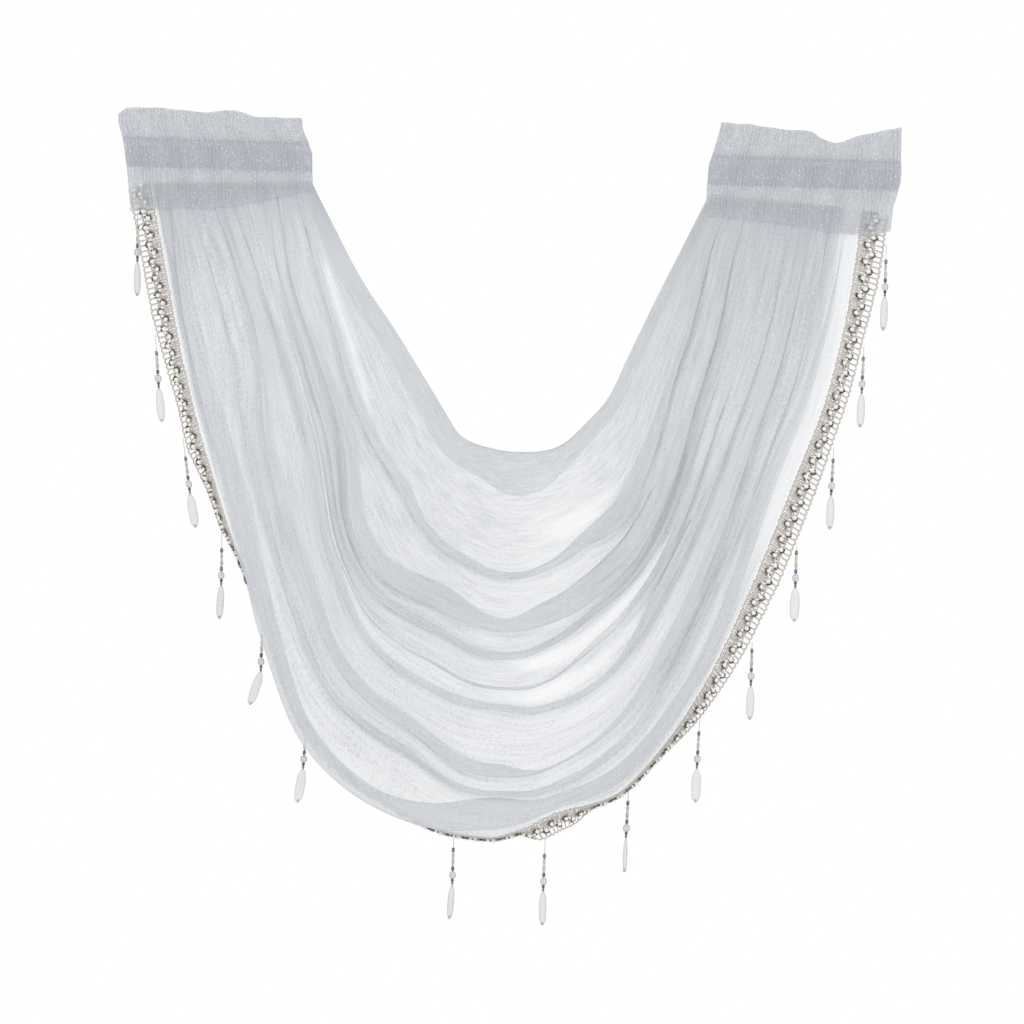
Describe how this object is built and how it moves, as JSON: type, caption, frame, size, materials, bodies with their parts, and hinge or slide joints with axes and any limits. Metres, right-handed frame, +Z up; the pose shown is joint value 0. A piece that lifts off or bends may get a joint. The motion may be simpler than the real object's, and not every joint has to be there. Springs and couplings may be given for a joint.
{
  "type": "balloon swag valance",
  "caption": "Sheer crinkle voile swag valance with two gathered rod-pocket headings, a deep U of cowl folds, a beaded crochet braid along the hem and hanging bead drops",
  "frame": {"origin": "Midway between the two headings, at the top of their rod pockets, on the line where the valance hangs", "axes": "X across the window to the valance's right as seen from the front, Y to the back so the front faces -Y, Z up"},
  "size_m": [0.7842, 0.0925, 0.8043],
  "materials": {
    "voile": "sheer crinkled voile",
    "heading_voile": "doubled and gathered voile",
    "crochet": "matt crochet cotton with small metal beads",
    "beads": "polished clear and pearly beads"
  },
  "bodies": {
    "root": {"swag_cloth": "voile", "heading_left": "heading_voile", "heading_right": "heading_voile", "beaded_braid": "crochet", "bead_drop_01": "beads", "bead_drop_02": "beads", "bead_drop_03": "beads", "bead_drop_04": "beads", "bead_drop_05": "beads", "bead_drop_06": "beads", "bead_drop_07": "beads", "bead_drop_08": "beads", "bead_drop_09": "beads", "bead_drop_10": "beads", "bead_drop_11": "beads", "bead_drop_12": "beads", "bead_drop_13": "beads", "bead_drop_14": "beads", "bead_drop_15": "beads"}
  },
  "joints": []
}
